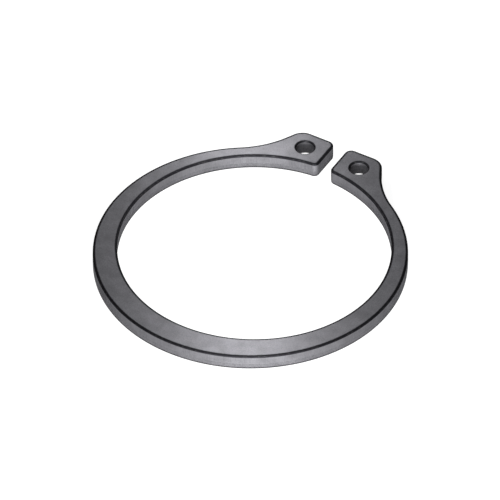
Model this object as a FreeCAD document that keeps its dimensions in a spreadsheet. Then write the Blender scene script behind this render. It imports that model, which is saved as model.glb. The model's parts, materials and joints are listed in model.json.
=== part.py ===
"""External retaining ring: a stamped spring ring that snaps into the groove of a shaft.

It is one piece of spring steel. The bore and the outer edge are two circles whose centres lie
apart on the ring's centreline, so the band is widest opposite the gap and tapers towards it,
which keeps the bore round while the ring is sprung open. A lug stands on each side of the gap,
with a hole for a plier tip, and runs back into the band along a straight flank and a long
hollow curve. Stamping draws the edges of the upper face into a radius, and those of the lower
face are lightly broken.

The ring lies flat. The origin is on the bore's axis, in the lower face. +Z runs up along the
axis and +Y points to the middle of the gap. Lengths are in millimetres.
"""
import FreeCAD, Part
import Sketcher
import math
import os

NODE = "retaining_ring"

# Name, value and meaning of each size that can be set by itself.
SIZES = (
    ("free_bore", 50.8, "bore diameter of the ring at rest, off its shaft"),
    ("stock", 3.0, "thickness of the strip that the ring is stamped from"),
    ("back_width", 5.3, "width of the band opposite the gap"),
    ("front_width", 2.35, "width that the taper runs out to, on the gap's centreline"),
    ("gap", 2.7, "opening between the two lugs"),
    ("lug_height", 7.15, "from the bore's circle up to the flat top of a lug"),
    ("bore_corner", 1.0, "radius between the gap and the bore"),
    ("lug_corner", 1.35, "radius between the gap and the top of a lug"),
    ("shoulder", 2.95, "radius between the top of a lug and its flank"),
    ("flank_lean", 28.0, "angle in degrees between a flank and the ring's centreline"),
    ("flank_length", 1.74, "straight stretch of a flank, from which a hollow curve runs out"),
    ("plier_hole", 3.4, "diameter of a plier hole"),
    ("hole_to_gap", 4.4, "from the centre of a plier hole to the gap's face"),
    ("hole_to_top", 3.8, "from the centre of a plier hole to the top of its lug"),
    ("hole_to_flank", 4.28, "from the centre of a plier hole to the flank"),
    ("upper_edge", 0.3, "radius of the upper face's edges, drawn in by the stamping"),
    ("lower_edge", 0.15, "width taken off the lower face's sharp edges by tumbling"),
)

# Numbers by which a sketch names a curve's points, counting up, and its own axes, counting down.
START, END, CENTRE = range(1, 4)
X_AXIS, Y_AXIS = range(-1, -3, -1)

# Two heights nearer than this, in mm, are the same.
SAME_HEIGHT = 1e-4


def add_sizes(doc):
    """The sheet of driving sizes, one row each: meaning, then value with its alias."""
    sheet = doc.addObject("Spreadsheet::Sheet", "Sizes")
    for row, (alias, value, meaning) in enumerate(SIZES, start=1):
        sheet.set(f"A{row}", meaning)
        sheet.set(f"B{row}", str(value))
        sheet.setAlias(f"B{row}", alias)
    doc.recompute()
    return sheet


def origin_plane(body, role):
    """The plane of the body's own origin that has this role."""
    return next(feature for feature in body.Origin.OriginFeatures if feature.Role == role)


def arc(centre, start, end):
    """The arc about centre that runs counterclockwise from start to the direction of end."""
    first = start - centre
    last = end - centre
    circle = Part.Circle(centre, FreeCAD.Vector(0, 0, 1), first.Length)
    return Part.ArcOfCircle(circle, math.atan2(first.y, first.x), math.atan2(last.y, last.x))


def half_outline(sheet):
    """The curves of the right half, worked out from the sizes, from the back round to the bore.

    Two arcs that touch have their common point on the line through their centres, and a flank
    touches its two arcs at the feet of the perpendiculars from their centres. The hollow curve
    has the one radius with which it starts at the flank's foot and reaches the outer circle.
    """
    vector = FreeCAD.Vector
    bore = sheet.free_bore / 2
    outer = bore + (sheet.back_width + sheet.front_width) / 2
    outer_centre = vector(0, (sheet.front_width - sheet.back_width) / 2, 0)
    bore_back = vector(0, -bore, 0)
    outer_back = outer_centre - vector(0, outer, 0)

    gap_face = sheet.gap / 2
    lug_top = bore + sheet.lug_height
    hole = vector(gap_face + sheet.hole_to_gap, lug_top - sheet.hole_to_top, 0)
    lean = math.radians(sheet.flank_lean)
    up_flank = vector(-math.sin(lean), math.cos(lean), 0)
    off_flank = vector(math.cos(lean), math.sin(lean), 0)
    flank = hole.dot(off_flank) + sheet.hole_to_flank

    corner_x = gap_face + sheet.bore_corner
    corner_y = math.sqrt((bore + sheet.bore_corner) ** 2 - corner_x ** 2)
    bore_corner = vector(corner_x, corner_y, 0)
    gap_foot = vector(gap_face, corner_y, 0)
    bore_end = bore_corner * (bore / (bore + sheet.bore_corner))

    lug_corner = vector(gap_face + sheet.lug_corner, lug_top - sheet.lug_corner, 0)
    gap_head = vector(gap_face, lug_corner.y, 0)
    top_inner = vector(lug_corner.x, lug_top, 0)

    shoulder_y = lug_top - sheet.shoulder
    shoulder_x = (flank - sheet.shoulder - shoulder_y * off_flank.y) / off_flank.x
    shoulder = vector(shoulder_x, shoulder_y, 0)
    top_outer = vector(shoulder_x, lug_top, 0)
    flank_head = shoulder + off_flank * sheet.shoulder

    flank_foot = flank_head - up_flank * sheet.flank_length
    foot = flank_foot - outer_centre
    blend_radius = (foot.dot(foot) - outer ** 2) / (outer - foot.dot(off_flank)) / 2
    blend = flank_foot + off_flank * blend_radius
    outer_end = outer_centre + (blend - outer_centre) * (outer / (outer + blend_radius))

    return [
        arc(outer_centre, outer_back, outer_end),
        arc(blend, flank_foot, outer_end),
        Part.LineSegment(flank_foot, flank_head),
        arc(shoulder, flank_head, top_outer),
        Part.LineSegment(top_outer, top_inner),
        arc(lug_corner, top_inner, gap_head),
        Part.LineSegment(gap_head, gap_foot),
        arc(bore_corner, gap_foot, bore_end),
        arc(vector(0, 0, 0), bore_back, bore_end),
        Part.LineSegment(bore_back, outer_back),
        Part.Circle(hole, vector(0, 0, 1), sheet.plier_hole / 2),
    ]


def add_half_sketch(body, sheet):
    """The right half of the ring's outline with its plier hole, fully constrained."""
    sketch = body.newObject("Sketcher::SketchObject", "HalfOutline")
    sketch.AttachmentSupport = [(origin_plane(body, "XY_Plane"), "")]
    sketch.MapMode = "FlatFace"
    (outer, blend, flank, shoulder, top, lug_corner, gap, bore_corner, bore, back, hole) = (
        sketch.addGeometry(half_outline(sheet), False)
    )

    for shape in (
        ("Tangent", outer, END, blend, END),
        ("Tangent", blend, START, flank, START),
        ("Tangent", flank, END, shoulder, START),
        ("Tangent", shoulder, END, top, START),
        ("Tangent", top, END, lug_corner, START),
        ("Tangent", lug_corner, END, gap, START),
        ("Tangent", gap, END, bore_corner, START),
        ("Tangent", bore_corner, END, bore, END),
        ("Coincident", bore, START, back, START),
        ("Coincident", back, END, outer, START),
        ("Coincident", bore, CENTRE, X_AXIS, START),
        ("PointOnObject", outer, CENTRE, Y_AXIS),
        ("PointOnObject", back, START, Y_AXIS),
        ("Vertical", back),
        ("Vertical", gap),
        ("Horizontal", top),
    ):
        sketch.addConstraint(Sketcher.Constraint(*shape))

    outer_radius = "(Sizes.free_bore + Sizes.back_width + Sizes.front_width) / 2"
    lug_top = "Sizes.free_bore / 2 + Sizes.lug_height"
    for name, formula, dimension in (
        ("bore_radius", "Sizes.free_bore / 2", ("Radius", bore)),
        ("outer_radius", outer_radius, ("Radius", outer)),
        ("back_width", "Sizes.back_width", ("Distance", back)),
        ("half_gap", "Sizes.gap / 2", ("DistanceX", X_AXIS, START, gap, START)),
        ("lug_top", lug_top, ("DistanceY", X_AXIS, START, top, START)),
        ("bore_corner", "Sizes.bore_corner", ("Radius", bore_corner)),
        ("lug_corner", "Sizes.lug_corner", ("Radius", lug_corner)),
        ("shoulder", "Sizes.shoulder", ("Radius", shoulder)),
        ("flank_angle", "90 deg + Sizes.flank_lean * 1 deg", ("Angle", flank)),
        ("flank_length", "Sizes.flank_length", ("Distance", flank)),
        ("plier_hole", "Sizes.plier_hole", ("Diameter", hole)),
        ("hole_to_gap", "Sizes.hole_to_gap", ("Distance", hole, CENTRE, gap)),
        ("hole_to_top", "Sizes.hole_to_top", ("Distance", hole, CENTRE, top)),
        ("hole_to_flank", "Sizes.hole_to_flank", ("Distance", hole, CENTRE, flank)),
    ):
        value = sketch.evalExpression(formula)
        index = sketch.addConstraint(Sketcher.Constraint(*dimension, value))
        sketch.renameConstraint(index, name)
        sketch.setExpression(f"Constraints.{name}", formula)
    return sketch


def level_face(shape, height):
    """The name of the flat face that lies level at this height."""
    for number, face in enumerate(shape.Faces, start=1):
        box = face.BoundBox
        if max(abs(box.ZMin - height), abs(box.ZMax - height)) < SAME_HEIGHT:
            return f"Face{number}"
    raise ValueError(f"no level face lies at {height} mm")


def add_ring(doc, sheet):
    """The ring: half of it stamped from the strip and mirrored, then all edges finished."""
    body = doc.addObject("PartDesign::Body", "Ring")
    body.Label = NODE
    body.Placement = FreeCAD.Placement()

    stamping = body.newObject("PartDesign::Pad", "HalfRing")
    stamping.Profile = add_half_sketch(body, sheet)
    stamping.setExpression("Length", "Sizes.stock")
    doc.recompute()

    whole = body.newObject("PartDesign::Mirrored", "WholeRing")
    whole.Originals = [stamping]
    whole.MirrorPlane = (origin_plane(body, "YZ_Plane"), [""])
    whole.Refine = True
    body.Tip = whole
    doc.recompute()

    upper_edges = body.newObject("PartDesign::Fillet", "UpperEdges")
    upper_edges.Base = (whole, [level_face(whole.Shape, sheet.stock)])
    upper_edges.setExpression("Radius", "Sizes.upper_edge")
    doc.recompute()

    lower_edges = body.newObject("PartDesign::Chamfer", "LowerEdges")
    lower_edges.Base = (upper_edges, [level_face(upper_edges.Shape, 0)])
    lower_edges.setExpression("Size", "Sizes.lower_edge")
    body.Tip = lower_edges
    doc.recompute()
    return body


def check(doc, ring):
    """Stops on a failed object, a loose sketch or a ring that isn't one valid solid."""
    for thing in doc.Objects:
        if {"Invalid", "Error"} & set(thing.State):
            raise RuntimeError(f"{thing.Name} failed: {thing.State}")
        if thing.isDerivedFrom("Sketcher::SketchObject") and not thing.FullyConstrained:
            raise RuntimeError(f"{thing.Name} isn't fully constrained")
    if ring.Shape.isNull() or not ring.Shape.isValid() or len(ring.Shape.Solids) != 1:
        raise RuntimeError(f"{ring.Label} isn't one valid solid")


def main():
    """Makes the document, builds and checks the ring, and writes its STEP file."""
    doc = FreeCAD.newDocument("RetainingRing")
    ring = add_ring(doc, add_sizes(doc))
    check(doc, ring)
    os.makedirs("parts", exist_ok=True)
    ring.Shape.exportStep(f"parts/{ring.Label}.step")
    print(f"{ring.Label}: {ring.Shape.Volume:.1f} mm3, {len(ring.Shape.Faces)} faces")


main()
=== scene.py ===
"""External retaining ring: the stamped ring in its phosphate coat, on a plain pale stage.

The ring's surface is worked out with numpy as grids that share their borders: the section of its
wall carried round the outline and round both plier holes, and flat fields between them. It stands
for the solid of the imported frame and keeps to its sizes. All lengths are in metres.
"""
import json
import math

import bpy
import numpy as np
from bpy.props import FloatProperty, FloatVectorProperty, PointerProperty
from bpy.types import NodeSocket, Operator, Panel, PropertyGroup
from mathutils import Matrix, Vector


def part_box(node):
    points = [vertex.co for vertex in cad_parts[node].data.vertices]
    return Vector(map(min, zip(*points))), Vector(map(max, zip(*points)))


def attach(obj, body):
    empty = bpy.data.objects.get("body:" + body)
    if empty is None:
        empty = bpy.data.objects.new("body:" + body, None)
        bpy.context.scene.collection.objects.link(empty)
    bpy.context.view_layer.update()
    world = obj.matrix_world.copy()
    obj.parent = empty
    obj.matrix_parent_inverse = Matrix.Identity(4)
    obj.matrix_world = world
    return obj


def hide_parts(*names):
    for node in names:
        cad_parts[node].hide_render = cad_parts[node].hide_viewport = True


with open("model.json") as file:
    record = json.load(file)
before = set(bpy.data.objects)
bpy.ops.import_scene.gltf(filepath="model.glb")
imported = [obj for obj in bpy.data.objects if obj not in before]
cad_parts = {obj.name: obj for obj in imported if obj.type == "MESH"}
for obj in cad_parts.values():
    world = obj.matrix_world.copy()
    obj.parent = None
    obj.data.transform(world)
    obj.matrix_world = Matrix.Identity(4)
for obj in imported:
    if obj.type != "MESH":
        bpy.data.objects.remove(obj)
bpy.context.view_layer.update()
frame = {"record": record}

bl_info = {
    "name": "External Retaining Ring",
    "version": (1, 0, 0),
    "blender": (4, 5, 0),
    "location": "View3D > Sidebar > Retaining Ring",
    "description": "Makes a stamped spring-steel retaining ring and a plain stage for it",
    "category": "Add Mesh",
}

NODE = "retaining_ring"
SLOT = "spring_steel"
PIECE = "coated_ring"

MM = 0.001
MOUNTS = {mount["name"]: mount for mount in frame["record"]["mounts"]}
COAT = next(row["base_color"] for row in frame["record"]["materials"] if row["slot"] == SLOT)

# The drawing is a parallel projection in which level circles are two thirds as high as wide.
FRAME_PIXELS = 500
FLATTENING = 2 / 3
# Where the middle of the bore's upper edge lies in the picture, from its left and top sides.
BORE_PIXEL = (254.38, 247.08)
# How far from the picture's left side its shades are lightest, which is where the lamps stand.
LIGHT_PIXEL = 248

# Steps of the grids: the longest along the band and round a lug, the widest turn, and the rows
# across the band and from a lug's border to its hole.
BAND_STEP = 0.5 * MM
LUG_STEP = 0.25 * MM
WIDEST_TURN = math.radians(6)
BAND_ROWS = 6
LUG_ROWS = 5
# Steps of the wall's section: the flat rim, tumbled edge, torn zone, the bend at its top, sheared
# zone, its last stretch with the soot's foot, drawn edge and flat rim.
SECTION_STEPS = (4, 5, 8, 1, 8, 1, 10, 4)

# The range that holds nearly all values of a noise.
NOISE_RANGE = (0.3, 0.7)
# The factors by which clouds and crystals darken and lighten the coat, and the shares by which
# streaks and torn grain do.
CLOUD_SHADES = (0.78, 0.98)
CRYSTAL_SHADES = (0.8, 1.2)
STREAK_SHADES = (-0.08, 0.12)
TEAR_SHADES = (-0.3, 0.1)
# How many times higher than wide the streaks and the torn grain are.
STREAK_STRETCH = 40
TEAR_STRETCH = 2
# The ragged line on top of the torn zone: its waves are as long as so many grains, it rises by
# its height from its foot, which lies this far under the zone's height, and it blurs both ways.
RAGGED_GRAINS = 4
RAGGED_HEIGHT = 0.4 * MM
RAGGED_FOOT = 0.05 * MM
RAGGED_BLUR = 0.04 * MM
# How much noise is added to the painted shade along the edges to rag its border, and the sums
# between which that painted shade turns the coat black.
SHADE_RAGGING_SHARE = 0.6
EDGE_SHADE_RANGE = (0.45, 1.15)
# How closely the rubbed spots keep to the crests, the values of their noise between which they
# come up, how bare they get, and how much smoother that makes the coat.
CREST_POWER = 4
SCUFF_RANGE = (0.5, 0.78)
BAREST = 0.15
BARE_POLISH = 0.15
# How much rougher or smoother the crystals make the coat.
CRYSTAL_ROUGHNESS = 0.04

UP = Vector((0, 0, 1))
# Sines of the elevations between which the room's walls turn into its ceiling.
CEILING_RISE = (math.sin(math.radians(20)), math.sin(math.radians(40)))
# From the middle of the floor to its sides, and from the ring down to it.
FLOOR_REACH = 1500 * MM
FLOOR_DROP = 0.02 * MM
# How many widths of the picture the camera stands away.
CAMERA_WIDTHS = 4


def length(name, default, description):
    """A length that the user may change, in metres."""
    return FloatProperty(
        name=name, description=description, default=default, min=0, precision=5, unit="LENGTH"
    )


def angle(name, default, description):
    """An angle that the user may change, in radians."""
    return FloatProperty(name=name, description=description, default=default, unit="ROTATION")


def share(name, default, description):
    """A share between none and all."""
    return FloatProperty(
        name=name, description=description, default=default, min=0, max=1, subtype="FACTOR"
    )


def colour(name, default, description):
    """A colour that the user may change."""
    return FloatVectorProperty(
        name=name, description=description, default=default, min=0, max=1, subtype="COLOR"
    )


def brightness(name, default, description):
    """How bright a lamp's face is, where one is white."""
    return FloatProperty(name=name, description=description, default=default, min=0)


class RingSizes(PropertyGroup):
    """Sizes of the ring: those of its solid, the torn zone's, and those of the painted edge
    shade's borders.
    """

    free_bore: length(
        "Free bore", 2 * MM * MOUNTS["shaft_groove"]["dims"]["r_mm"], "Bore of the ring at rest"
    )
    stock: length("Stock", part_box(NODE)[1][2], "Thickness of the strip")
    back_width: length("Back width", 5.3 * MM, "Width of the band opposite the gap")
    front_width: length("Front width", 2.35 * MM, "Width that the taper runs out to at the gap")
    gap: length("Gap", 2.7 * MM, "Opening between the lugs")
    lug_height: length("Lug height", 7.15 * MM, "From the bore's circle to the top of a lug")
    bore_corner: length("Bore corner", 1.0 * MM, "Radius between the gap and the bore")
    lug_corner: length("Lug corner", 1.35 * MM, "Radius between the gap and the top of a lug")
    shoulder: length("Shoulder", 2.95 * MM, "Radius between the top of a lug and its flank")
    flank_lean: angle("Flank lean", math.radians(28), "From a flank to the ring's centreline")
    flank_length: length("Flank length", 1.74 * MM, "Straight stretch of a flank")
    plier_hole: length(
        "Plier hole", 2 * MM * MOUNTS["plier_hole_right"]["dims"]["r_mm"], "Width of a plier hole"
    )
    hole_to_gap: length("Hole to gap", 4.4 * MM, "From a hole's centre to the gap's face")
    hole_to_top: length("Hole to top", 3.8 * MM, "From a hole's centre to the top of its lug")
    hole_to_flank: length("Hole to flank", 4.28 * MM, "From a hole's centre to the flank")
    upper_edge: length("Upper edge", 0.3 * MM, "Radius drawn into the upper edges by stamping")
    lower_edge: length("Lower edge", 0.15 * MM, "Radius tumbled on the lower edges")
    torn_height: length("Torn height", 1.1 * MM, "Height of the torn zone on a wall")
    torn_inset: length("Torn inset", 0.03 * MM, "How far the torn zone leans in at its foot")
    # Painted shade along the edges: dark lines that stand for their shade and for the contact
    # shadow on the floor. Its full part reaches past an edge, then fades.
    soot_reach: length("Soot reach", 0.04 * MM, "How far the edges' full soot reaches past them")
    soot_fade: length("Soot fade", 0.26 * MM, "How far it takes from there to fade")
    soot_foot: length("Soot foot", 0.08 * MM, "How far it takes to fade below an upper edge")
    hole_rim: length("Hole rim", 0.12 * MM, "Width of the flat rim round a hole's edges")
    # Round a hole, the painted edge shade stops inside the edges and fades from there.
    hole_soot_inset: length("Hole soot inset", 0.1 * MM, "How far full soot stops inside them")
    hole_soot_fade: length("Hole soot fade", 0.16 * MM, "How far it takes from there to fade")


class CoatFinish(PropertyGroup):
    """Colour and texture of the phosphate coat."""

    coat: colour("Coat", COAT, "Colour of the coat")
    # The near black of the painted shade along the edges, which stands for their shade and for the
    # contact shadow.
    soot: colour("Soot", (0.006, 0.006, 0.007), "Colour of the edges, where soot and oil settle")
    rubbed: colour("Rubbed", (0.16, 0.158, 0.155), "Colour of the steel under the rubbed spots")
    metal: share("Metal", 0.9, "How far the coat shines as metal does")
    roughness: share("Roughness", 0.5, "Mean roughness of the coat on the faces")
    wall_roughness: share("Wall roughness", 0.58, "Mean roughness on the sheared walls")
    torn_roughness: share("Torn roughness", 0.66, "Mean roughness where the wall is torn")
    gloss: share("Gloss", 0.3, "Strength of the oil film's reflections")
    glance: share("Glance", 0.2, "How much it shines when it is seen from the side")
    cloud: length("Cloud", 2.5 * MM, "Size of the clouds in the coat")
    crystal: length("Crystal", 0.14 * MM, "Size of the clusters of crystals")
    streak: length("Streak", 0.08 * MM, "Width of the streaks down a sheared wall")
    tear: length("Tear", 0.16 * MM, "Size of the grain in the torn zone")
    # Size of the noise that rags the border of the painted edge shade.
    smudge: length("Smudge", 0.3 * MM, "Size of the smudges along the soot's border")
    scuff: length("Scuff", 0.6 * MM, "Distance between rubbed spots")
    crystal_relief: length("Crystal relief", 0.008 * MM, "Height of the crystals")
    streak_relief: length("Streak relief", 0.004 * MM, "Depth of the streaks")
    tear_relief: length("Tear relief", 0.02 * MM, "Depth of the torn grain")


class StudioSettings(PropertyGroup):
    """The camera's place, the lamps, the room and the floor."""

    azimuth: angle("Azimuth", math.radians(30), "Turn of the camera round the ring's axis")
    elevation: angle("Elevation", math.asin(FLATTENING), "Rise of the camera over the floor")
    pixel: length("Pixel", 0.18527 * MM, "Width of the ring that one pixel shows")
    strip_height: length("Strip height", 28 * MM, "Height of the long lamp over the ring")
    strip_width: length("Strip width", 15 * MM, "Width of the long lamp")
    strip_length: length("Strip length", 260 * MM, "Length of the long lamp")
    strip_light: brightness("Strip light", 10.3, "Brightness of the long lamp")
    front_distance: length("Front distance", 600 * MM, "From the axis to the front lamp")
    front_height: length("Front height", 87 * MM, "From the ring to the front lamp's middle")
    front_size: length("Front size", 180 * MM, "Width and height of the front lamp")
    front_light: brightness("Front light", 222.0, "Brightness of the front lamp")
    room: share("Room", 0.3, "Brightness of the white room on dull surfaces")
    ceiling: share("Ceiling", 0.5, "Brightness of the ceiling, as a share of the walls'")
    paper: share("Paper", 0.15, "Shade of the floor")
    paper_lift: share("Paper lift", 0.95, "Brightness that the floor shows of itself")


def follow(start, lengths, bends, along):
    """Points and headings at the given distances along a path of evenly bent stretches.

    The path sets out from start with the heading 0. A stretch that starts at p with the heading
    h and the bend k has, after the distance d, the heading h + k d, and lies at p plus
    d sin(k d / 2) / (k d / 2) in the direction h + k d / 2.
    """
    lengths, bends, along = (np.asarray(values, float) for values in (lengths, bends, along))
    turns = lengths * bends
    headings = np.cumsum(turns) - turns

    def chord(heading, distance, turn):
        """The straight way from the start of a stretch to a place on it."""
        reach, middle = distance * np.sinc(turn / 2 / np.pi), heading + turn / 2
        return reach[:, None] * np.stack([np.cos(middle), np.sin(middle)], axis=1)

    whole = chord(headings, lengths, turns)
    origins = np.asarray(start) + np.cumsum(whole, axis=0) - whole
    ends = np.cumsum(lengths)
    row = np.clip(np.searchsorted(ends, along, side="right"), 0, len(lengths) - 1)
    rest = along - (ends - lengths)[row]
    turned = rest * bends[row]
    return origins[row] + chord(headings[row], rest, turned), headings[row] + turned


def spaced(lengths, counts):
    """Distances along a path that divide each stretch evenly into its count of steps."""
    lengths, counts = np.asarray(lengths, float), np.asarray(counts)
    first = np.repeat(np.cumsum(lengths) - lengths, counts)
    number = np.arange(counts.sum()) - np.repeat(np.cumsum(counts) - counts, counts)
    return first + number * np.repeat(lengths / counts, counts)


def hole_centre(ring):
    """Centre of the right plier hole, from its distances to the gap's face and the lug's top."""
    return np.array([
        ring.gap / 2 + ring.hole_to_gap,
        ring.free_bore / 2 + ring.lug_height - ring.hole_to_top,
    ])


def half_outline(ring):
    """Start, lengths and bends of the outline's right half, with the metal on the path's left.

    It runs from the back of the outer edge over the hollow curve, flank, shoulder, top, lug
    corner, gap and bore corner to the back of the bore. Arcs that touch have their common point
    on the line through their centres, and the hollow curve has the one radius with which it
    starts at the flank's foot and reaches the outer circle. The hollow curve and the bore are
    each cut in two at the same angle about the axis, where a lug's field meets the band's.
    """
    bore = ring.free_bore / 2
    outer = bore + (ring.back_width + ring.front_width) / 2
    outer_centre = np.array([0, (ring.front_width - ring.back_width) / 2])
    lug_top = bore + ring.lug_height
    up_flank = np.array([-math.sin(ring.flank_lean), math.cos(ring.flank_lean)])
    off_flank = np.array([up_flank[1], -up_flank[0]])
    flank = hole_centre(ring) @ off_flank + ring.hole_to_flank
    corner_x = ring.gap / 2 + ring.bore_corner
    corner_y = math.sqrt((bore + ring.bore_corner) ** 2 - corner_x ** 2)
    shoulder_y = lug_top - ring.shoulder
    shoulder_x = (flank - ring.shoulder - shoulder_y * off_flank[1]) / off_flank[0]
    shoulder_centre = np.array([shoulder_x, shoulder_y])
    flank_foot = shoulder_centre + off_flank * ring.shoulder - up_flank * ring.flank_length
    foot = flank_foot - outer_centre
    hollow = (foot @ foot - outer ** 2) / (outer - foot @ off_flank) / 2
    reach = foot + off_flank * hollow
    outer_turn = math.pi / 2 + math.atan2(reach[1], reach[0])
    flank_turn = math.pi / 2 + ring.flank_lean
    hollow_half = hollow * (outer_turn - flank_turn) / 2
    bore_turn = math.atan2(corner_y, corner_x)

    start = outer_centre - np.array([0, outer])
    to_cut = [(outer * outer_turn, 1 / outer), (hollow_half, -1 / hollow)]
    cut = follow(start, *zip(*to_cut), [outer * outer_turn + hollow_half])[0][0]
    cut_turn = math.atan2(cut[1], cut[0])
    lengths, bends = zip(
        *to_cut,
        (hollow_half, -1 / hollow),
        (ring.flank_length, 0),
        (ring.shoulder * (math.pi - flank_turn), 1 / ring.shoulder),
        (shoulder_x - ring.gap / 2 - ring.lug_corner, 0),
        (ring.lug_corner * math.pi / 2, 1 / ring.lug_corner),
        (lug_top - ring.lug_corner - corner_y, 0),
        (ring.bore_corner * bore_turn, 1 / ring.bore_corner),
        (bore * (bore_turn - cut_turn), -1 / bore),
        (bore * (cut_turn + math.pi / 2), -1 / bore),
    )
    return start, np.array(lengths), np.array(bends)


def outline(ring):
    """Points and outward normals of the closed outline, and its steps on half a band and a lug.

    The left half repeats the stretches of the right half in reverse, which mirrors it. The bore
    gets as many steps as the outer edge that it faces, so that the band's field is a plain grid.
    """
    start, lengths, bends = half_outline(ring)
    longest = np.full(len(lengths), LUG_STEP)
    longest[[0, 1, -1]] = BAND_STEP
    steps = np.ceil(np.maximum(lengths / longest, lengths * abs(bends) / WIDEST_TURN)).astype(int)
    band, lug = steps[:2].sum(), steps[2:-1].sum()
    steps[-1] = band
    lengths, bends, steps = (
        np.concatenate([half, half[::-1]]) for half in (lengths, bends, steps)
    )
    points, headings = follow(start, lengths, bends, spaced(lengths, steps))
    return points, np.stack([np.sin(headings), -np.cos(headings)], axis=1), band, lug


def wall_section(ring, rim, reach, fade):
    """The wall's section: outward shift, height, normal outward and upward, and share of painted
    edge shade.

    From the lower face's flat rim it rounds the tumbled edge, leans out along the torn zone,
    stands upright along the sheared zone, and rolls over into the upper face's flat rim, all as
    evenly bent stretches. Painted shade is full up to its reach past a rounded edge, or inside
    the edge where that is negative, and fades evenly from there: at the lower edge it is a
    painted contact shadow, at the upper edge a painted dark line that also covers the highlight
    of its rounding. Below the drawn edge it fades on the last stretch of the sheared zone.
    """
    lean = math.atan2(ring.torn_inset, ring.torn_height)
    lower, upper = ring.lower_edge, ring.upper_edge
    lengths = np.array([
        rim, lower * (math.pi / 2 - lean), ring.torn_height, lower * lean, 0, ring.soot_foot,
        upper * math.pi / 2, rim,
    ])
    bends = np.array([0, 1 / lower, 0, 1 / lower, 0, 0, 1 / upper, 0])
    foot = follow((0, 0), lengths[:4], bends[:4], [lengths[:4].sum()])[0][0]
    lengths[4] = ring.stock - upper - ring.soot_foot - foot[1]
    along = np.append(spaced(lengths, SECTION_STEPS), lengths.sum())
    points, headings = follow((-foot[0], 0), lengths, bends, along)

    _, tumbled, _, _, clean, sheared, drawn, _ = np.cumsum(lengths)
    # Painted shade: full over the lower edge as a contact shadow, and over the upper edge as a
    # dark line in place of its highlight.
    turns = [
        rim - reach - fade, rim - reach, tumbled + reach, tumbled + reach + fade,
        clean, sheared, drawn + reach, drawn + reach + fade,
    ]
    soot = np.interp(along, turns, [0, 1, 1, 0] * 2)
    return points[:, 0], points[:, 1], np.sin(headings), -np.cos(headings), soot


class Shell:
    """Vertices with their normals and share of painted edge shade, and quads, gathered grid by
    grid.
    """

    def __init__(self):
        self.points, self.normals, self.soot, self.quads, self.count = [], [], [], [], 0

    def add(self, points, normals, soot):
        """Adds an array of points, and gives their numbers in the array's own shape."""
        shape = points.shape[:-1]
        self.points.append(points.reshape(-1, 3))
        self.normals.append(np.broadcast_to(normals, points.shape).reshape(-1, 3))
        self.soot.append(np.broadcast_to(soot, shape).ravel())
        first, self.count = self.count, self.count + int(np.prod(shape))
        return np.arange(first, self.count).reshape(shape)

    def weave(self, grid):
        """Quads between the rows and columns of numbers. They face along columns x rows."""
        corners = (grid[:-1, :-1], grid[:-1, 1:], grid[1:, 1:], grid[1:, :-1])
        self.quads.append(np.stack(corners, axis=-1).reshape(-1, 4))


def closed(grid):
    """A grid of numbers whose last column is its first one again."""
    return np.concatenate([grid, grid[:, :1]], axis=1)


def rows_between(first, last, steps):
    """Rows of points on straight lines from the first row to the last, both of them left out."""
    way = (np.arange(1, steps) / steps)[:, None, None]
    return first * (1 - way) + last * way


def carried(section, points, outward):
    """The wall's section carried along level points: place = point + outward * shift + height.

    Its normal is outward * the section's outward part + its upward part.
    """
    shift, height, out, up, _ = (values[:, None, None] for values in section)
    upright = np.ones((1, len(points), 1))
    places = np.concatenate([points + outward * shift, upright * height], axis=2)
    return places, np.concatenate([outward * out, upright * up], axis=2)


def ring_shell(ring):
    """The whole ring as one closed shell.

    Walls: the section carried along the outline, and about each hole's centre at the angles of
    the points of its lug's border. Faces: straight rows from the outer edge to the bore, and
    straight spokes from each lug's border to the rim of its hole.
    """
    shell = Shell()
    # The painted edge shade reaches past the outline's edges and stops inside the holes' edges.
    shade_width = ring.soot_reach + ring.soot_fade
    section = wall_section(ring, shade_width, ring.soot_reach, ring.soot_fade)
    hole_section = wall_section(ring, ring.hole_rim, -ring.hole_soot_inset, ring.hole_soot_fade)
    path, outward, band, lug = outline(ring)
    places, facing = carried(section, path, outward)
    wall = shell.add(places, facing, section[-1][:, None])
    shell.weave(closed(wall))
    half = len(path) // 2
    columns = np.arange(2 * band + 1)
    outer, bore = (columns - band) % len(path), half + band - columns

    lugs = []
    for first, side in ((band, 1), (half + band, -1)):
        border = np.arange(first, first + lug + 1)
        centre = hole_centre(ring) * (side, 1)
        seam = rows_between(path[border[-1:]], path[border[:1]], BAND_ROWS)[:, 0]
        spokes = np.concatenate([path[border], seam]) - centre
        spokes /= np.linalg.norm(spokes, axis=1, keepdims=True)
        rims, inward = carried(hole_section, centre + spokes * (ring.plier_hole / 2), -spokes)
        hole = shell.add(rims, inward, hole_section[-1][:, None])
        shell.weave(closed(hole)[:, ::-1])
        lugs.append((side, border, hole, rims))

    for row, facing in ((0, -1), (-1, 1)):
        normal = np.array((0.0, 0.0, facing))
        middle = rows_between(places[row, outer], places[row, bore], BAND_ROWS)
        inside = shell.add(middle, normal, 0)
        grid = np.concatenate([wall[row, outer][None], inside, wall[row, bore][None]])
        shell.weave(grid[:, ::facing])
        for side, border, hole, rims in lugs:
            column = -1 if side > 0 else 0
            seam, seam_places = inside[::-side, column], middle[::-side, column]
            ends = np.concatenate([places[row, border], seam_places])
            spokes = shell.add(rows_between(ends, rims[row], LUG_ROWS), normal, 0)
            rim = np.concatenate([wall[row, border], seam])
            field = np.concatenate([rim[None], spokes, hole[row][None]])
            shell.weave(closed(field)[:, ::facing])
    return shell


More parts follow.
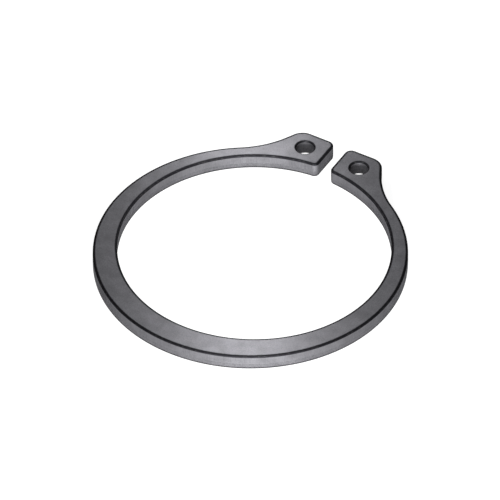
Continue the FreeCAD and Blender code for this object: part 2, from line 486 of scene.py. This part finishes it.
def node(tree, kind, inputs=(), **settings):
    """A new shader node with its settings. Inputs are values or outputs of other nodes."""
    made = tree.nodes.new("ShaderNode" + kind)
    for name, value in settings.items():
        setattr(made, name, value)
    for name, value in dict(inputs).items():
        if isinstance(value, NodeSocket):
            tree.links.new(value, made.inputs[name])
        else:
            made.inputs[name].default_value = value
    return made


def maths(tree, operation, *values):
    """The result of a calculation with these values."""
    return node(tree, "Math", enumerate(values), operation=operation).outputs[0]


def fitted(tree, value, from_low, from_high, to_low, to_high):
    """The value moved from one range to another, and kept inside that."""
    inputs = {
        "Value": value, "From Min": from_low, "From Max": from_high,
        "To Min": to_low, "To Max": to_high,
    }
    return node(tree, "MapRange", inputs).outputs[0]


def mixed(tree, factor, first, second, kind="MIX"):
    """A mix of two colours. Their sockets and the result's come after those for numbers."""
    inputs = {
        0: factor,
        6: first if isinstance(first, NodeSocket) else (*first, 1),
        7: second if isinstance(second, NodeSocket) else (*second, 1),
    }
    return node(tree, "Mix", inputs, data_type="RGBA", blend_type=kind).outputs[2]


def coat_material(ring, finish):
    """Phosphate coat on spring steel: clouded, finely crystalline, streaked on sheared walls.

    The sheared upper part of a wall has fine upright streaks and the torn lower part a coarse
    grain, with a ragged line between them. Painted shade darkens the edges up to a ragged border,
    as dark lines for their shade and for the contact shadow on the floor, and a few spots on
    their crests are rubbed thin.
    """
    made = bpy.data.materials.new("phosphate_coat")
    made.use_nodes = True
    tree = made.node_tree
    shader = tree.nodes["Principled BSDF"]
    place = node(tree, "TexCoord").outputs["Object"]
    height = node(tree, "SeparateXYZ", {0: place}).outputs["Z"]
    # The share of painted edge shade, the share by which a place faces sideways, and the crest of
    # an edge.
    soot, wall, crest = (
        node(tree, "Attribute", attribute_name=name).outputs["Fac"]
        for name in ("soot", "wall", "crest")
    )

    def noise(size, detail=2.0, upright=1.0):
        """Noise of this size between 0 and 1, drawn out upwards by a factor."""
        where = node(tree, "Mapping", {"Vector": place, "Scale": (1, 1, 1 / upright)}).outputs[0]
        inputs = {"Vector": where, "Scale": 1 / size, "Detail": detail}
        return node(tree, "TexNoise", inputs).outputs["Fac"]

    def spread(values, low, high):
        """The values of a noise, moved to another range."""
        return fitted(tree, values, *NOISE_RANGE, low, high)

    def product(first, *others):
        """All these values multiplied."""
        for other in others:
            first = maths(tree, "MULTIPLY", first, other)
        return first

    def added(base, part, value):
        """The base with part of a value added: part * value + base."""
        return maths(tree, "MULTIPLY_ADD", part, value, base)

    clouds = noise(finish.cloud, detail=3.0)
    crystals = noise(finish.crystal)
    streaks = noise(finish.streak, detail=1.0, upright=STREAK_STRETCH)
    tears = noise(finish.tear, detail=3.0, upright=TEAR_STRETCH)
    scuffs = noise(finish.scuff, detail=4.0)

    waves = noise(RAGGED_GRAINS * finish.tear)
    ragged = added(ring.torn_height - RAGGED_FOOT, waves, RAGGED_HEIGHT)
    depth = maths(tree, "SUBTRACT", ragged, height)
    torn = product(fitted(tree, depth, -RAGGED_BLUR, RAGGED_BLUR, 0, 1), wall)
    sheared = maths(tree, "SUBTRACT", wall, torn)

    shade = product(
        spread(clouds, *CLOUD_SHADES),
        spread(crystals, *CRYSTAL_SHADES),
        added(1.0, sheared, spread(streaks, *STREAK_SHADES)),
        added(1.0, torn, spread(tears, *TEAR_SHADES)),
    )
    grey = node(tree, "CombineColor", {0: shade, 1: shade, 2: shade}).outputs[0]
    tone = mixed(tree, 1.0, finish.coat, grey, "MULTIPLY")
    # Painted shade: near black along the edges, up to a border that noise makes ragged.
    ragged_shade = added(soot, noise(finish.smudge), SHADE_RAGGING_SHARE)
    tone = mixed(tree, fitted(tree, ragged_shade, *EDGE_SHADE_RANGE, 0, 1), tone, finish.soot)
    crests = maths(tree, "POWER", crest, CREST_POWER)
    bare = product(crests, fitted(tree, scuffs, *SCUFF_RANGE, 0, BAREST))
    tone = mixed(tree, bare, tone, finish.rubbed)

    smoothest = finish.roughness - CRYSTAL_ROUGHNESS
    rough = spread(crystals, smoothest, finish.roughness + CRYSTAL_ROUGHNESS)
    rough = added(rough, sheared, finish.wall_roughness - finish.roughness)
    rough = added(rough, torn, finish.torn_roughness - finish.roughness)
    rough = added(rough, bare, -BARE_POLISH)

    relief = product(crystals, finish.crystal_relief)
    relief = added(relief, sheared, product(streaks, finish.streak_relief))
    relief = added(relief, torn, product(tears, finish.tear_relief))
    # The bump's heights are shares of its distance.
    bump = node(tree, "Bump", {"Height": maths(tree, "DIVIDE", relief, MM), "Distance": MM})

    for name, value in (
        ("Base Color", tone), ("Roughness", rough), ("Normal", bump.outputs[0])
    ):
        tree.links.new(value, shader.inputs[name])
    shader.inputs["Metallic"].default_value = finish.metal
    shader.inputs["Specular IOR Level"].default_value = finish.gloss
    shader.inputs["Specular Tint"].default_value = (finish.glance,) * 3 + (1,)
    return made


def linked(name, data):
    """A new object in the scene."""
    made = bpy.data.objects.new(name, data)
    bpy.context.scene.collection.objects.link(made)
    return made


def add_ring(ring, finish):
    """The ring as a mesh with its exact normals, coated.

    Its attributes are the share of painted edge shade, the share by which a place faces sideways,
    and the crest of an edge, which is twice the product of its normal's sideways and upward parts.
    """
    shell = ring_shell(ring)
    points, normals, soot, quads = (
        np.concatenate(values) for values in (shell.points, shell.normals, shell.soot, shell.quads)
    )
    mesh = bpy.data.meshes.new(PIECE)
    mesh.vertices.add(len(points))
    mesh.vertices.foreach_set("co", points.ravel())
    mesh.loops.add(quads.size)
    mesh.loops.foreach_set("vertex_index", quads.ravel())
    mesh.polygons.add(len(quads))
    mesh.polygons.foreach_set("loop_start", np.arange(0, quads.size, quads.shape[1]))
    mesh.update(calc_edges=True)
    mesh.shade_smooth()
    mesh.normals_split_custom_set_from_vertices(normals)
    sideways = np.hypot(normals[:, 0], normals[:, 1])
    crest = 2 * sideways * abs(normals[:, 2])
    for name, values in (("soot", soot), ("wall", sideways), ("crest", crest)):
        mesh.attributes.new(name, "FLOAT", "POINT").data.foreach_set("value", values)
    mesh.materials.append(coat_material(ring, finish))
    return linked(PIECE, mesh)


def seen_directly(tree):
    """One for camera, glossy and transmission rays, and none for all others."""
    rays = node(tree, "LightPath").outputs
    mirrored = maths(tree, "MAXIMUM", rays["Is Glossy Ray"], rays["Is Transmission Ray"])
    return maths(tree, "MAXIMUM", rays["Is Camera Ray"], mirrored)


def add_room(studio):
    """A room with white walls and a dimmer ceiling. It lights dull surfaces less than it shows."""
    room = bpy.data.worlds.new("white_room")
    bpy.context.scene.world = room
    room.use_nodes = True
    tree = room.node_tree
    background = tree.nodes["Background"]
    background.inputs["Color"].default_value = (1, 1, 1, 1)
    level = fitted(tree, seen_directly(tree), 0, 1, studio.room, 1)
    direction = node(tree, "TexCoord").outputs["Generated"]
    rise = node(tree, "SeparateXYZ", {0: direction}).outputs["Z"]
    shade = fitted(tree, rise, *CEILING_RISE, 1, studio.ceiling)
    tree.links.new(maths(tree, "MULTIPLY", level, shade), background.inputs["Strength"])


def add_floor(studio):
    """A wide sheet of paper just under the ring, which looks white and keeps the ring's shadow."""
    signs = ((-1, -1), (1, -1), (1, 1), (-1, 1))
    corners = [(x * FLOOR_REACH, y * FLOOR_REACH, -FLOOR_DROP) for x, y in signs]
    mesh = bpy.data.meshes.new("floor")
    mesh.from_pydata(corners, [], [(0, 1, 2, 3)])
    paper = bpy.data.materials.new("paper")
    paper.use_nodes = True
    tree = paper.node_tree
    shader = tree.nodes["Principled BSDF"]
    shader.inputs["Base Color"].default_value = (studio.paper,) * 3 + (1,)
    shader.inputs["Roughness"].default_value = 1
    shader.inputs["Specular IOR Level"].default_value = 0
    shader.inputs["Emission Color"].default_value = (1, 1, 1, 1)
    lift = maths(tree, "MULTIPLY", seen_directly(tree), studio.paper_lift)
    tree.links.new(lift, shader.inputs["Emission Strength"])
    mesh.materials.append(paper)
    linked("floor", mesh)


def add_lamp(name, place, back, up, width, height, light):
    """A soft lamp that the camera doesn't see, its back turned to back and its height along up.

    Its power is its brightness * pi * its area.
    """
    data = bpy.data.lights.new(name, "AREA")
    data.shape = "RECTANGLE"
    data.size, data.size_y = width, height
    data.energy = light * math.pi * width * height
    right = up.cross(back).normalized()
    turned = Matrix((right, back.cross(right), back)).transposed()
    lamp = linked(name, data)
    lamp.matrix_world = Matrix.Translation(place) @ turned.to_4x4()
    lamp.visible_camera = False


def picture_right(studio):
    """The level direction that runs to the right in the picture."""
    return Vector((math.cos(studio.azimuth), math.sin(studio.azimuth), 0))


def add_lamps(ring, studio):
    """A long lamp above and behind the ring, and a low lamp in front of it.

    The long lamp runs away from the camera, so that the upper face gets darker to both sides of
    the picture. The front lamp does the same for the walls.
    """
    right = picture_right(studio)
    away = UP.cross(right)
    middle = UP * ring.stock - right * studio.pixel * (BORE_PIXEL[0] - LIGHT_PIXEL)
    add_lamp(
        "strip_lamp", middle + (UP + away) * studio.strip_height,
        UP, away, studio.strip_width, studio.strip_length, studio.strip_light,
    )
    to_front = UP * studio.front_height - away * studio.front_distance
    add_lamp(
        "front_lamp", middle + to_front, to_front.normalized(), UP,
        studio.front_size, studio.front_size, studio.front_light,
    )


def add_camera(ring, studio):
    """A parallel camera that puts the middle of the bore's upper edge on its pixel."""
    right = picture_right(studio)
    back = right.cross(UP) * math.cos(studio.elevation) + UP * math.sin(studio.elevation)
    data = bpy.data.cameras.new("camera")
    data.type = "ORTHO"
    data.ortho_scale = FRAME_PIXELS * studio.pixel
    across, down = (pixel - FRAME_PIXELS / 2 for pixel in BORE_PIXEL)
    aim = UP * ring.stock - studio.pixel * (right * across - back.cross(right) * down)
    camera = linked("camera", data)
    camera.location = aim + back * data.ortho_scale * CAMERA_WIDTHS
    camera.rotation_mode = "QUATERNION"
    camera.rotation_quaternion = (-back).to_track_quat("-Z", "Y")
    bpy.context.scene.camera = camera


class RETAININGRING_OT_set_stage(Operator):
    """Make the camera, the white room and floor, and the lamps"""

    bl_idname = "retaining_ring.set_stage"
    bl_label = "Set Stage"

    def execute(self, context):
        ring, studio = context.scene.ring_sizes, context.scene.studio_settings
        context.scene.view_settings.view_transform = "Standard"
        add_camera(ring, studio)
        add_room(studio)
        add_floor(studio)
        add_lamps(ring, studio)
        return {"FINISHED"}


class RETAININGRING_OT_make_ring(Operator):
    """Make the ring with its coat, in the place of its solid"""

    bl_idname = "retaining_ring.make_ring"
    bl_label = "Make Ring"

    def execute(self, context):
        piece = add_ring(context.scene.ring_sizes, context.scene.coat_finish)
        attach(piece, "root")
        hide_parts(NODE)
        return {"FINISHED"}


class RETAININGRING_PT_sidebar(Panel):
    """Sizes and finish of the ring, the stage, and the buttons that make them"""

    bl_idname = "RETAININGRING_PT_sidebar"
    bl_label = "Retaining Ring"
    bl_space_type = "VIEW_3D"
    bl_region_type = "UI"
    bl_category = "Retaining Ring"

    def draw(self, context):
        for group, title, button in (
            ("ring_sizes", "Ring", None),
            ("coat_finish", "Coat", RETAININGRING_OT_make_ring),
            ("studio_settings", "Stage", RETAININGRING_OT_set_stage),
        ):
            settings = getattr(context.scene, group)
            box = self.layout.box()
            box.label(text=title)
            for name in type(settings).__annotations__:
                box.prop(settings, name)
            if button:
                box.operator(button.bl_idname)


GROUPS = (
    ("ring_sizes", RingSizes), ("coat_finish", CoatFinish), ("studio_settings", StudioSettings)
)
CLASSES = (
    *(group for _, group in GROUPS),
    RETAININGRING_OT_set_stage,
    RETAININGRING_OT_make_ring,
    RETAININGRING_PT_sidebar,
)


def register():
    """Makes the classes and the scene's groups of settings known."""
    for kind in CLASSES:
        bpy.utils.register_class(kind)
    for name, group in GROUPS:
        setattr(bpy.types.Scene, name, PointerProperty(type=group))


def unregister():
    """Takes them away again."""
    for name, _ in GROUPS:
        delattr(bpy.types.Scene, name)
    for kind in reversed(CLASSES):
        bpy.utils.unregister_class(kind)


def main():
    """Makes everything in order."""
    register()
    bpy.ops.retaining_ring.set_stage()
    bpy.ops.retaining_ring.make_ring()


if __name__ == "__main__":
    main()
